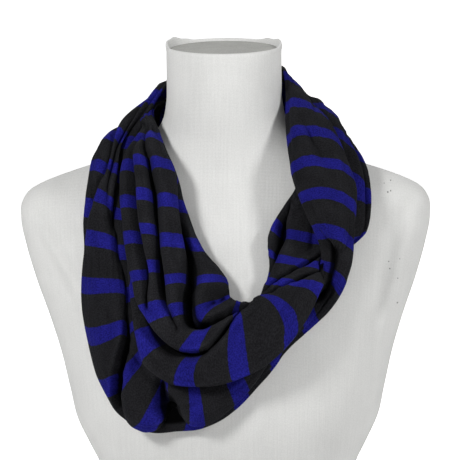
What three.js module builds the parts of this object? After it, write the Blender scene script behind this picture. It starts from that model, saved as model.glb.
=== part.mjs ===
// A striped jersey infinity scarf, wound twice round the neck of a white cloth-covered bust form.
// Millimetres, +Z up. The front of the form faces -Y, and the origin is the centre of its flat base.
import * as THREE from "three";

// The cloth
const CLOTH_THICKNESS = 1.8;
const SEAM_GAP = 0.3;
const FORM_CLEARANCE = 0.5;
const WRAP = THREE.MathUtils.degToRad(102); // how far a stretch curls round at each of its edges
const STATIONS_PER_SECTION = 3; // rows of points in the grid between two sections
const POINTS_ACROSS = 22;
const PROFILE_SAMPLES = 160;
const FOLD_FADE = 0.35; // how far a fold fades out beyond its ends, in sections
const END_STEP = 0.15; // how far beyond its ends a stretch looks for its direction, in sections
const PINNED_DEPTH = 1.5; // folds deeper than this have a row of points along their bottom

// The form
const FORM_SEGMENTS = 40;
const NECK_TOP = 514;
const CAP_THICKNESS = 2;
const RIM_HEIGHT = 6;
const RIM_THICKNESS = 3.4;

// One row for each level of the form: half its width, its depth in front of and behind the axis,
// and how square the outline is (2 is an ellipse).
const FORM_LEVELS = [
  { z: 0, side: 126, front: 92, back: 84, square: 2.3 },
  { z: 28, side: 121, front: 87, back: 77, square: 2.3 },
  { z: 55, side: 119, front: 86, back: 72, square: 2.2 },
  { z: 80, side: 122, front: 90, back: 72, square: 2.2 },
  { z: 107, side: 130, front: 98, back: 74, square: 2.2 },
  { z: 130, side: 141, front: 107, back: 77, square: 2.2 },
  { z: 152, side: 151, front: 114, back: 80, square: 2.2 },
  { z: 183, side: 158, front: 119, back: 84, square: 2.2 },
  { z: 223, side: 167, front: 116, back: 88, square: 2.2 },
  { z: 256, side: 177, front: 109, back: 92, square: 2.2 },
  { z: 294, side: 190, front: 99, back: 94, square: 2.2 },
  { z: 326, side: 199, front: 90, back: 92, square: 2.2 },
  { z: 354, side: 204, front: 80, back: 87, square: 2.2 },
  { z: 372, side: 202, front: 72, back: 80, square: 2.2 },
  { z: 384, side: 192, front: 65, back: 75, square: 2.1 },
  { z: 393, side: 173, front: 60, back: 71, square: 2 },
  { z: 402, side: 147, front: 56, back: 67, square: 2 },
  { z: 411, side: 118, front: 54, back: 65, square: 2 },
  { z: 421, side: 93, front: 53, back: 63, square: 2 },
  { z: 433, side: 74, front: 53, back: 60, square: 2 },
  { z: 447, side: 63, front: 54, back: 57, square: 2 },
  { z: 466, side: 58, front: 55, back: 55, square: 2 },
  { z: 490, side: 57, front: 56, back: 54, square: 2 },
  { z: NECK_TOP, side: 57, front: 56, back: 54, square: 2 },
];

// The scarf is one loop. One row for each section across it, in the order of travel: the edge nearer the
// neck, the edge further from it, and how far the middle of the cloth stands out from the line between them.
const SECTIONS = [
  { place: "nape, upper turn", inner: [0, 62, 488], outer: [-1, 69, 430], crown: 6 },
  { place: "behind the right of the neck", inner: [48, 44, 497], outer: [56, 52, 439], crown: 7 },
  { place: "right of the neck", inner: [60, 8, 496], outer: [77, 8, 453], crown: 8 },
  { place: "right front, high", inner: [59, -45, 448], outer: [103, -36, 446], crown: 15 },
  { place: "right front", inner: [64, -82, 403], outer: [121, -74, 402], crown: 21 },
  { place: "right front", inner: [78, -105, 365], outer: [123, -93, 365], crown: 20 },
  { place: "right front, low", inner: [90, -112, 331], outer: [120, -100, 325], crown: 14 },
  { place: "under the crossing", inner: [80, -107, 296], outer: [103, -104, 279], crown: 9 },
  { place: "under the front band", inner: [45, -115, 259], outer: [63, -112, 243], crown: 8 },
  { place: "under the front band", inner: [13, -123, 234], outer: [32, -121, 205], crown: 11 },
  { place: "bottom", inner: [-22, -126, 220], outer: [-8, -124, 170], crown: 15 },
  { place: "bottom", inner: [-53, -124, 224], outer: [-57, -121, 157], crown: 17 },
  { place: "bottom left", inner: [-77, -118, 246], outer: [-98, -112, 169], crown: 18 },
  { place: "bottom left", inner: [-87, -111, 276], outer: [-122, -99, 212], crown: 17 },
  { place: "left side", inner: [-92, -105, 308], outer: [-136, -87, 274], crown: 15 },
  { place: "left side", inner: [-96, -95, 348], outer: [-137, -77, 343], crown: 14 },
  { place: "left side, high", inner: [-96, -74, 389], outer: [-131, -54, 393], crown: 17 },
  { place: "left shoulder", inner: [-89, -36, 432], outer: [-119, -24, 420], crown: 18 },
  { place: "left of the neck", inner: [-62, 20, 487], outer: [-98, 14, 422], crown: 13 },
  { place: "behind the left of the neck", inner: [-48, 60, 478], outer: [-68, 56, 416], crown: 13 },
  { place: "nape, lower turn", inner: [0, 80, 473], outer: [-1, 72, 408], crown: 12 },
  { place: "behind the right of the neck", inner: [58, 60, 471], outer: [74, 58, 415], crown: 12 },
  { place: "right of the neck", inner: [88, 14, 461], outer: [112, 16, 416], crown: 10 },
  { place: "right shoulder", inner: [77, -26, 426], outer: [122, -20, 421], crown: 9 },
  { place: "right side", inner: [72, -64, 394], outer: [140, -58, 395], crown: 7 },
  { place: "right side", inner: [48, -88, 361], outer: [135, -76, 355], crown: 8 },
  { place: "crossing", inner: [39, -99, 331], outer: [94, -97, 327], crown: 8 },
  { place: "front band", inner: [35, -105, 292], outer: [84, -129, 300], crown: 10 },
  { place: "front band", inner: [25, -113, 284], outer: [67, -143, 261], crown: 10 },
  { place: "front band", inner: [19, -118, 281], outer: [35, -150, 229], crown: 11 },
  { place: "cowl", inner: [14, -120, 280], outer: [-7, -152, 212], crown: 13 },
  { place: "cowl", inner: [9, -120, 280], outer: [-46, -149, 213], crown: 15 },
  { place: "cowl", inner: [5, -119, 283], outer: [-77, -141, 230], crown: 17 },
  { place: "cowl", inner: [0, -115, 293], outer: [-88, -131, 267], crown: 19 },
  { place: "left front", inner: [-9, -110, 311], outer: [-92, -121, 307], crown: 20 },
  { place: "left front", inner: [-24, -104, 336], outer: [-97, -112, 345], crown: 20 },
  { place: "left front", inner: [-38, -92, 373], outer: [-100, -98, 384], crown: 20 },
  { place: "left front, high", inner: [-49, -73, 407], outer: [-97, -75, 418], crown: 17 },
  { place: "left front, high", inner: [-59, -45, 438], outer: [-78, -46, 445], crown: 11 },
  { place: "left of the neck", inner: [-61, 2, 463], outer: [-71, 5, 447], crown: 5 },
  { place: "behind the left of the neck", inner: [-47, 42, 472], outer: [-56, 48, 431], crown: 7 },
];

// One row for each fold. It runs along the cloth between two section numbers. The columns across and deep
// hold its place (-1 inner edge, 1 outer edge) and depth at evenly spaced points of that run. wide is its
// half width in millimetres, and lean moves its bottom sideways under the cloth beside it.
const FOLDS = [
  { name: "right crease", from: 2.8, to: 4.2, across: [-0.3, -0.1, 0.05], deep: [1, 3, 1], wide: 6, lean: 0 },
  { name: "right turn", from: 5, to: 7, across: [-0.05, -0.3, -0.5], deep: [2, 5, 1], wide: 6, lean: 0 },
  { name: "right roll", from: 3, to: 5.8, across: [0.8, 0.85, 0.85], deep: [1, 3, 2], wide: 4, lean: 0 },
  { name: "hem fold", from: 8.3, to: 11.7, across: [0.2, 0.55, 0.7, 0.72, 0.95], deep: [3, 5, 5, 5, 3], wide: 4, lean: 0 },
  { name: "left face edge", from: 11.8, to: 14, across: [1.05, 0.6, -0.3, -0.6, -0.7, -0.75], deep: [5, 9, 11, 9, 4, 0], wide: 9, lean: 3 },
  { name: "left shadow", from: 14, to: 15.8, across: [-0.75, -0.72, -0.72, -0.7], deep: [4, 9, 9, 4], wide: 6, lean: 0 },
  { name: "left overlap", from: 14.3, to: 18, across: [1, 0.65, 0.2, -0.03, 0.02, 0.05], deep: [3, 7, 8, 8, 7, 3], wide: 5.5, lean: -3 },
  { name: "neck pleat 1", from: 15.7, to: 18, across: [-0.2, -0.3, -0.38, -0.4], deep: [2, 6, 7, 4], wide: 4, lean: 0 },
  { name: "neck pleat 2", from: 15.3, to: 18, across: [-0.5, -0.62, -0.72, -0.72], deep: [3, 6, 6, 4], wide: 4, lean: 0 },
  { name: "nape fold 1", from: 18.9, to: 21.5, across: [-0.5, -0.45, -0.5], deep: [3, 6, 3], wide: 6, lean: 0 },
  { name: "nape fold 2", from: 18.9, to: 21.5, across: [0.05, 0.1, 0], deep: [4, 7, 4], wide: 7, lean: 0 },
  { name: "nape fold 3", from: 18.9, to: 21.5, across: [0.55, 0.6, 0.55], deep: [2, 5, 2], wide: 6, lean: 0 },
  { name: "right side fold", from: 22.5, to: 25.3, across: [0.5, 0.7, 0.78, 0.8], deep: [2, 4, 4, 2], wide: 4, lean: 0 },
  { name: "cowl gap", from: 24.4, to: 27, across: [-0.97, -0.64, -0.56, -0.6, -1], deep: [3, 9, 10, 7, 2], wide: 5.5, lean: 4 },
  { name: "band crease 1", from: 25.6, to: 27.2, across: [0.38, 0, -0.8], deep: [2, 4, 2], wide: 4, lean: 0 },
  { name: "band crease 2", from: 25.8, to: 27.8, across: [0.85, 0.4, -0.3, -0.9], deep: [2, 4, 4, 2], wide: 4, lean: 0 },
  { name: "cowl roll", from: 29.5, to: 34.7, across: [-0.8, -0.45, 0.4, 0.42, 0.52, 0.68, 0.86, 0.95, 0.97], deep: [2, 6, 9, 10, 12, 13, 12, 9, 5], wide: 7, lean: -3 },
  { name: "cowl pocket", from: 28.8, to: 36.8, across: [-0.95, -0.65, -0.42, -0.1, -0.06, -0.28, -0.48, -0.7, -0.93], deep: [1, 5, 11, 16, 18, 16, 13, 10, 4], wide: 8, lean: 0 },
  { name: "inner pleat", from: 32.3, to: 38.7, across: [0.12, 0.24, 0.26, 0.14, 0.03, -0.05, 0.1, 0.45, 0.85], deep: [2, 5, 7, 8, 10, 12, 8, 3, 0], wide: 5, lean: -3 },
  { name: "outer pleat", from: 33.3, to: 37.4, across: [0.62, 0.6, 0.5, 0.55, 0.66], deep: [2, 4, 5, 5, 2], wide: 5, lean: 0 },
  { name: "upper nape fold 1", from: 39.6, to: 43.2, across: [-0.35, -0.3, -0.35], deep: [1, 3, 1], wide: 5, lean: 0 },
  { name: "upper nape fold 2", from: 39.6, to: 43.2, across: [0.3, 0.35, 0.3], deep: [1, 3, 1], wide: 5, lean: 0 },
];

// One row for each hollow: its section number and place across, its half length in sections, its half width
// as a share of half the section, and its depth.
const HOLLOWS = [
  { name: "right elbow", at: 6.5, across: -0.65, long: 0.5, wide: 0.35, deep: 6 },
  { name: "bottom dip", at: 11.1, across: 0.45, long: 0.5, wide: 0.35, deep: 8 },
  { name: "bottom left dip", at: 12.2, across: 0.1, long: 0.35, wide: 0.3, deep: 7 },
];

// One row for each stretch of the scarf that shows, and the sections between which it lies.
const STRETCHES = [
  { name: "scarf_nape_upper", from: 39.5, to: 42.6 },
  { name: "scarf_right_over", from: 1.6, to: 7.4 },
  { name: "scarf_front_sweep", from: 7.4, to: 13.4 },
  { name: "scarf_left_under", from: 13.4, to: 18.45 },
  { name: "scarf_nape_lower", from: 18.45, to: 22 },
  { name: "scarf_right_under", from: 22, to: 26.6 },
  { name: "scarf_front_band", from: 26.6, to: 33 },
  { name: "scarf_left_over", from: 33, to: 39.5 },
];

const scarfCloth = new THREE.MeshStandardMaterial({ name: "striped_jersey", color: 0x1b1b22, roughness: 0.92, metalness: 0 });
const coverCloth = new THREE.MeshStandardMaterial({ name: "form_cover", color: 0xe6e6e4, roughness: 0.85, metalness: 0 });
const capBoard = new THREE.MeshStandardMaterial({ name: "neck_cap", color: 0xc9cac6, roughness: 0.8, metalness: 0 });

// A smooth curve through evenly numbered values.
function smooth(a, b, c, d, t) {
  return b + 0.5 * t * (c - a + t * (2 * a - 5 * b + 4 * c - d + t * (3 * (b - c) + d - a)));
}

// The value of one column at any section number. The loop closes on itself.
function alongLoop(pick, at) {
  const count = SECTIONS.length;
  const start = Math.floor(at);
  const [a, b, c, d] = [-1, 0, 1, 2].map((step) => pick(SECTIONS[(start + step + count) % count]));
  return smooth(a, b, c, d, at - start);
}

// The value of an evenly spaced list at a share of its length.
function alongList(list, share) {
  const at = THREE.MathUtils.clamp(share, 0, 1) * (list.length - 1);
  const start = Math.min(Math.floor(at), list.length - 2);
  const [a, b, c, d] = [-1, 0, 1, 2].map((step) => list[THREE.MathUtils.clamp(start + step, 0, list.length - 1)]);
  return smooth(a, b, c, d, at - start);
}

function edgePoint(edge, at) {
  return new THREE.Vector3(...[0, 1, 2].map((axis) => alongLoop((row) => row[edge][axis], at)));
}

// The level of the form at a height, between the rows of its table.
function formLevel(z) {
  const last = FORM_LEVELS.length - 2;
  let index = FORM_LEVELS.findIndex((row, i) => i <= last && z <= FORM_LEVELS[i + 1].z);
  if (index < 0) index = last;
  const [low, high] = [FORM_LEVELS[index], FORM_LEVELS[index + 1]];
  const share = THREE.MathUtils.clamp((z - low.z) / (high.z - low.z), 0, 1);
  const mix = (key) => THREE.MathUtils.lerp(low[key], high[key], share);
  return { side: mix("side"), front: mix("front"), back: mix("back"), square: mix("square") };
}

// About how far a point lies outside the form's surface, and under 0 inside it.
function outsideForm(p) {
  const level = formLevel(p.z);
  const depth = p.y < 0 ? level.front : level.back;
  const reach = (Math.abs(p.x) / level.side) ** level.square + (Math.abs(p.y) / depth) ** level.square;
  return (reach ** (1 / level.square) - 1) * Math.min(level.side, depth);
}

// Moves a point out of the form along the steepest way, until it is clear of the surface.
function clearOfForm(p, clearance) {
  const step = 0.5;
  for (let round = 0; round < 12; round++) {
    const distance = outsideForm(p);
    const slope = new THREE.Vector3(
      ...["x", "y", "z"].map((axis) => {
        const ahead = p.clone();
        ahead[axis] += step;
        return (outsideForm(ahead) - distance) / step;
      }),
    );
    const real = distance / Math.max(slope.length(), 0.2);
    if (real >= clearance) return p;
    p.addScaledVector(slope.normalize(), Math.min(clearance - real + 0.05, 6));
  }
  return p;
}

// How far along its run a fold is at a section number, or null where it doesn't reach.
function foldShare(fold, at) {
  const along = at < fold.from - FOLD_FADE ? at + SECTIONS.length : at;
  if (along > fold.to + FOLD_FADE) return null;
  return (along - fold.from) / (fold.to - fold.from);
}

// The depth of a fold at a share of its run, faded out beyond both ends.
function foldDepth(fold, share) {
  const fade = FOLD_FADE / (fold.to - fold.from);
  const start = THREE.MathUtils.smoothstep(share, -fade, 0);
  const end = 1 - THREE.MathUtils.smoothstep(share, 1, 1 + fade);
  return alongList(fold.deep, share) * start * end;
}

// The middle of the cloth at a section number and a place across it, from -1 to 1.
function clothPoint(at, across) {
  const loopAt = at % SECTIONS.length;
  const ahead = 0.05;
  const [inner, outer] = [edgePoint("inner", loopAt), edgePoint("outer", loopAt)];
  const centre = inner.clone().add(outer).multiplyScalar(0.5);
  const next = edgePoint("inner", loopAt + ahead).add(edgePoint("outer", loopAt + ahead)).multiplyScalar(0.5);
  const side = outer.clone().sub(inner);
  const half = side.length() / 2;
  side.normalize();
  const out = next.sub(centre).cross(side).normalize();
  const crown = alongLoop((row) => row.crown, loopAt);
  const [s, c] = [Math.sin(across * WRAP), Math.cos(across * WRAP)];
  const normal = new THREE.Vector2(s / half, c / crown).normalize();
  const place = new THREE.Vector2(half * s, crown * c);
  const edgeFade = THREE.MathUtils.smoothstep(1 - Math.abs(across), 0.02, 0.28);
  for (const fold of FOLDS) {
    const share = foldShare(fold, at);
    if (share === null) continue;
    const bottom = alongList(fold.across, share);
    const speed = WRAP * Math.hypot(half * Math.cos(bottom * WRAP), crown * Math.sin(bottom * WRAP));
    const dip = Math.exp(-((((across - bottom) * speed) / fold.wide) ** 2));
    const deep = foldDepth(fold, share) * dip * edgeFade;
    place.addScaledVector(normal, -deep);
    place.add(new THREE.Vector2(normal.y, -normal.x).multiplyScalar((fold.lean * deep) / Math.max(...fold.deep)));
  }
  for (const hollow of HOLLOWS) {
    const spread = ((at - hollow.at) / hollow.long) ** 2 + ((across - hollow.across) / hollow.wide) ** 2;
    place.addScaledVector(normal, -hollow.deep * Math.exp(-spread));
  }
  return centre.addScaledVector(side, place.x).addScaledVector(out, place.y);
}

// Where the points of one section lie across it. They are spaced evenly along the folded line, and the
// nearest point to each fold is moved to its bottom.
function placesAcross(at) {
  const fine = Array.from({ length: PROFILE_SAMPLES + 1 }, (_, i) => (2 * i) / PROFILE_SAMPLES - 1);
  const points = fine.map((across) => clothPoint(at, across));
  const lengths = [0];
  for (let i = 1; i < fine.length; i++) lengths.push(lengths[i - 1] + points[i].distanceTo(points[i - 1]));
  const total = lengths[PROFILE_SAMPLES];
  const pins = new Map([[0, 0], [POINTS_ACROSS, total]]);
  for (const fold of FOLDS) {
    const share = foldShare(fold, at);
    if (share === null || foldDepth(fold, share) < PINNED_DEPTH) continue;
    const across = alongList(fold.across, share);
    if (Math.abs(across) > 0.96) continue;
    const reached = lengths[Math.round(((across + 1) / 2) * PROFILE_SAMPLES)];
    const column = Math.round((reached / total) * POINTS_ACROSS);
    if (!pins.has(column)) pins.set(column, reached);
  }
  const columns = [...pins.keys()].sort((a, b) => a - b);
  const places = [];
  for (let k = 0; k < columns.length - 1; k++) {
    const [start, end] = [columns[k], columns[k + 1]];
    for (let j = start; j < end; j++) {
      places.push(THREE.MathUtils.lerp(pins.get(start), pins.get(end), (j - start) / (end - start)));
    }
  }
  places.push(total);
  return places.map((wanted) => {
    const reached = Math.max(1, lengths.findIndex((length) => length >= wanted - 1e-6));
    const share = (wanted - lengths[reached - 1]) / (lengths[reached] - lengths[reached - 1]);
    return THREE.MathUtils.lerp(fine[reached - 1], fine[reached], share);
  });
}

// A closed wall from a grid of points on its middle, in rows of equal length. Its first and last rows
// lie beyond the ends and only give their direction. The table splits tells which way each square of the
// grid is cut in two.
function wallGeometry(grid, splits, thickness) {
  const rows = grid.length - 2;
  const columns = grid[0].length;
  const at = (i, j) => grid[i + 1][THREE.MathUtils.clamp(j, 0, columns - 1)];
  const positions = [];
  for (const face of [1, -1]) {
    for (let i = 0; i < rows; i++) {
      for (let j = 0; j < columns; j++) {
        const along = at(i + 1, j).clone().sub(at(i - 1, j));
        const across = at(i, j + 1).clone().sub(at(i, j - 1));
        const normal = along.cross(across).normalize();
        const p = at(i, j).clone().addScaledVector(normal, (face * thickness) / 2);
        positions.push(p.x, p.y, p.z);
      }
    }
  }
  const index = [];
  const vertex = (face, i, j) => face * rows * columns + i * columns + j;
  const quad = (a, b, c, d, split) => index.push(...(split ? [a, b, d, b, c, d] : [a, b, c, a, c, d]));
  for (let i = 0; i < rows - 1; i++) {
    for (let j = 0; j < columns - 1; j++) {
      const split = splits[i][j];
      quad(vertex(0, i, j), vertex(0, i + 1, j), vertex(0, i + 1, j + 1), vertex(0, i, j + 1), split);
      quad(vertex(1, i, j), vertex(1, i, j + 1), vertex(1, i + 1, j + 1), vertex(1, i + 1, j), split);
    }
  }
  const last = columns - 1;
  for (let i = 0; i < rows - 1; i++) {
    quad(vertex(0, i, 0), vertex(1, i, 0), vertex(1, i + 1, 0), vertex(0, i + 1, 0), false);
    quad(vertex(0, i, last), vertex(0, i + 1, last), vertex(1, i + 1, last), vertex(1, i, last), false);
  }
  for (let j = 0; j < columns - 1; j++) {
    quad(vertex(0, 0, j), vertex(0, 0, j + 1), vertex(1, 0, j + 1), vertex(1, 0, j), false);
    quad(vertex(0, rows - 1, j), vertex(1, rows - 1, j), vertex(1, rows - 1, j + 1), vertex(0, rows - 1, j + 1), false);
  }
  return solidGeometry(positions, index);
}

function solidGeometry(positions, index) {
  const geometry = new THREE.BufferGeometry();
  geometry.setAttribute("position", new THREE.Float32BufferAttribute(positions, 3));
  geometry.setIndex(index);
  return geometry;
}

// How far the cloth moves for each section number, where that is least across the section.
function slowestPlace(at) {
  const step = 0.05;
  const samples = Array.from({ length: 21 }, (_, i) => i / 10 - 1);
  return Math.min(...samples.map((across) => clothPoint(at, across).distanceTo(clothPoint(at + step, across)) / step));
}

// One stretch of the scarf, with half a seam gap left free at each end.
function stretchGeometry({ from, to }) {
  const shift = (at) => SEAM_GAP / 2 / slowestPlace(at);
  const [start, end] = [from + shift(from), to - shift(to)];
  const steps = Math.round((end - start) * STATIONS_PER_SECTION);
  const stations = Array.from({ length: steps + 1 }, (_, i) => THREE.MathUtils.lerp(start, end, i / steps));
  const places = stations.map(placesAcross);
  const point = (at, across) => clearOfForm(clothPoint(at, across), FORM_CLEARANCE + CLOTH_THICKNESS / 2);
  const gridRow = (at, i) => places[i].map((across) => point(at, across));
  const grid = stations.map(gridRow);
  const splits = [];
  for (let i = 0; i < steps; i++) {
    splits.push([]);
    for (let j = 0; j < POINTS_ACROSS; j++) {
      const across = (places[i][j] + places[i][j + 1] + places[i + 1][j] + places[i + 1][j + 1]) / 4;
      const real = point((stations[i] + stations[i + 1]) / 2, across);
      const rising = grid[i][j].clone().add(grid[i + 1][j + 1]).multiplyScalar(0.5);
      const falling = grid[i + 1][j].clone().add(grid[i][j + 1]).multiplyScalar(0.5);
      splits[i].push(falling.distanceTo(real) < rising.distanceTo(real));
    }
  }
  const before = gridRow(start - END_STEP, 0);
  const after = gridRow(end + END_STEP, steps);
  return wallGeometry([before, ...grid, after], splits, CLOTH_THICKNESS);
}

// A closed ring of the form at one level, going round from +X towards +Y.
function formRing(level, z, scale = 1) {
  return Array.from({ length: FORM_SEGMENTS }, (_, i) => {
    const angle = (2 * Math.PI * i) / FORM_SEGMENTS;
    const [c, s] = [Math.cos(angle), Math.sin(angle)];
    const power = 2 / level.square;
    const depth = s < 0 ? level.front : level.back;
    return new THREE.Vector3(
      Math.sign(c) * Math.abs(c) ** power * level.side * scale,
      Math.sign(s) * Math.abs(s) ** power * depth * scale,
      z,
    );
  });
}

// A closed solid through rings of equal count, from the lowest to the highest, with flat ends.
function loftGeometry(rings) {
  const count = rings[0].length;
  const positions = rings.flat().flatMap((p) => [p.x, p.y, p.z]);
  const index = [];
  for (let r = 0; r < rings.length - 1; r++) {
    for (let i = 0; i < count; i++) {
      const [a, b] = [r * count + i, r * count + ((i + 1) % count)];
      index.push(a, b, b + count, a, b + count, a + count);
    }
  }
  for (const [ring, upwards] of [[0, false], [rings.length - 1, true]]) {
    const centre = positions.length / 3;
    const middle = rings[ring].reduce((sum, p) => sum.add(p), new THREE.Vector3()).divideScalar(count);
    positions.push(middle.x, middle.y, middle.z);
    for (let i = 0; i < count; i++) {
      const [a, b] = [ring * count + i, ring * count + ((i + 1) % count)];
      index.push(...(upwards ? [a, b, centre] : [b, a, centre]));
    }
  }
  return solidGeometry(positions, index);
}

function formBody() {
  return loftGeometry(FORM_LEVELS.map((level) => formRing(level, level.z)));
}

// The board that closes the neck, let in below the rolled rim of the cover.
function neckCap() {
  const neck = FORM_LEVELS[FORM_LEVELS.length - 1];
  const scale = 1 - (RIM_THICKNESS + 2 * SEAM_GAP) / neck.back;
  const bottom = NECK_TOP + SEAM_GAP;
  return loftGeometry([formRing(neck, bottom, scale), formRing(neck, bottom + CAP_THICKNESS, scale)]);
}

// The cover's rolled rim round the top of the neck.
function coverRim() {
  const neck = FORM_LEVELS[FORM_LEVELS.length - 1];
  const roundness = 6;
  const profile = [];
  for (let i = 0; i < roundness; i++) {
    const angle = (2 * Math.PI * i) / roundness;
    profile.push([
      1 - (RIM_THICKNESS / 2) * (1 + Math.cos(angle)) / neck.back,
      NECK_TOP + SEAM_GAP + (RIM_HEIGHT / 2) * (1 + Math.sin(angle)),
    ]);
  }
  const rings = profile.map(([scale, z]) => formRing(neck, z, scale));
  const positions = rings.flat().flatMap((p) => [p.x, p.y, p.z]);
  const index = [];
  for (let r = 0; r < roundness; r++) {
    for (let i = 0; i < FORM_SEGMENTS; i++) {
      const next = (r + 1) % roundness;
      const [a, b] = [r * FORM_SEGMENTS + i, r * FORM_SEGMENTS + ((i + 1) % FORM_SEGMENTS)];
      const [c, d] = [next * FORM_SEGMENTS + ((i + 1) % FORM_SEGMENTS), next * FORM_SEGMENTS + i];
      index.push(a, c, b, a, d, c);
    }
  }
  return solidGeometry(positions, index);
}

function namedMesh(name, geometry, material) {
  const mesh = new THREE.Mesh(geometry, material);
  mesh.name = name;
  return mesh;
}

const displayedScarf = new THREE.Group();
displayedScarf.add(namedMesh("form_body", formBody(), coverCloth));
displayedScarf.add(namedMesh("form_neck_cap", neckCap(), capBoard));
displayedScarf.add(namedMesh("form_cover_rim", coverRim(), coverCloth));
for (const stretch of STRETCHES) displayedScarf.add(namedMesh(stretch.name, stretchGeometry(stretch), scarfCloth));

export default displayedScarf;
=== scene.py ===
import math

import bpy
import numpy as np
from bpy.props import FloatProperty, FloatVectorProperty, PointerProperty
from mathutils import Matrix, Vector


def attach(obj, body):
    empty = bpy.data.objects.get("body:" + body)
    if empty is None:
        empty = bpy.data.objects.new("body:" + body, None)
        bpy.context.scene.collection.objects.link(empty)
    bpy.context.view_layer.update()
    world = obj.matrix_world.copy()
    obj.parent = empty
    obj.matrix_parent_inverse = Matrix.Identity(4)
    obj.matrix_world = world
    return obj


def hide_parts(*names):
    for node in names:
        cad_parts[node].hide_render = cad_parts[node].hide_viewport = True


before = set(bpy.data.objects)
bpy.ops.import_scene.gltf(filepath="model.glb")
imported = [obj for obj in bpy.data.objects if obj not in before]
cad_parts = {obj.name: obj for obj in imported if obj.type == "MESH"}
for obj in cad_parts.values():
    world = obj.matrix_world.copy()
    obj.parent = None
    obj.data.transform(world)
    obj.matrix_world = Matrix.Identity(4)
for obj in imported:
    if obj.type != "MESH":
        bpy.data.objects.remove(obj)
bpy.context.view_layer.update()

bl_info = {
    "name": "Striped scarf on a bust form",
    "version": (1, 0, 0),
    "blender": (4, 5, 0),
    "location": "3D View > Sidebar > Scarf",
    "description": "Adds a double-wrapped jersey scarf, the covered form under it, and a plain stage",
    "category": "Add Mesh",
}

MM = 0.001

# The form. One row for each level: half its width, its depth in front of and behind the axis, all in
# millimetres, and how square the outline is.
FORM_COLUMNS = ("z", "side", "front", "back", "square")
FORM_LEVELS = (
    (0, 126, 92, 84, 2.3),
    (28, 121, 87, 77, 2.3),
    (55, 119, 86, 72, 2.2),
    (80, 122, 90, 72, 2.2),
    (107, 130, 98, 74, 2.2),
    (130, 141, 107, 77, 2.2),
    (152, 151, 114, 80, 2.2),
    (183, 158, 119, 84, 2.2),
    (223, 167, 116, 88, 2.2),
    (256, 177, 109, 92, 2.2),
    (294, 190, 99, 94, 2.2),
    (326, 199, 90, 92, 2.2),
    (354, 204, 80, 87, 2.2),
    (372, 202, 72, 80, 2.2),
    (384, 192, 65, 75, 2.1),
    (393, 173, 60, 71, 2),
    (402, 147, 56, 67, 2),
    (411, 118, 54, 65, 2),
    (421, 93, 53, 63, 2),
    (433, 74, 53, 60, 2),
    (447, 63, 54, 57, 2),
    (466, 58, 55, 55, 2),
    (490, 57, 56, 54, 2),
    (514, 57, 56, 54, 2),
)
NECK_TOP = 514

# The rolled rim of the cover: how far in from the neck's outline each ring lies, and its height.
RIM_PROFILE = (
    (0.1, 514.6),
    (-0.1, 516.0),
    (0.1, 517.8),
    (0.7, 519.4),
    (1.7, 520.2),
    (2.7, 519.6),
    (3.2, 518.0),
    (3.4, 513.0),
)

# The board in the neck: its height, how far in it lies from the neck's outline, its thickness, the steps in
# which its face is drawn in, and how far it drops beyond each share of its radius.
CAP_HEIGHT = 517.6
CAP_INSET = 3.6
CAP_THICKNESS = 1.2
CAP_STEPS = (0.015, 0.02, 0.3, 0.3)
CAP_DROPS = ((0.975, 0.25), (0.99, 0.9))

# The neck's top slopes to the front, by a height at its front and back, above a lift that they share. The
# slope starts further down the neck.
NECK_SLOPE_START = 482
NECK_SLOPE = 6
NECK_LIFT = 2.8
NECK_HALF_DEPTH = 55

# The rim is gathered thick at both sides. One row for each gather: its direction in degrees, its half width
# and its height. A gather also bulges out by a share of that height.
RIM_GATHERS = (
    (150, 12, 5.0),
    (170, 12, 3.8),
    (132, 6, 1.2),
    (16, 14, 4.0),
    (38, 8, 2.2),
    (-6, 8, 2.4),
)
GATHER_BULGE = 0.45

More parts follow.
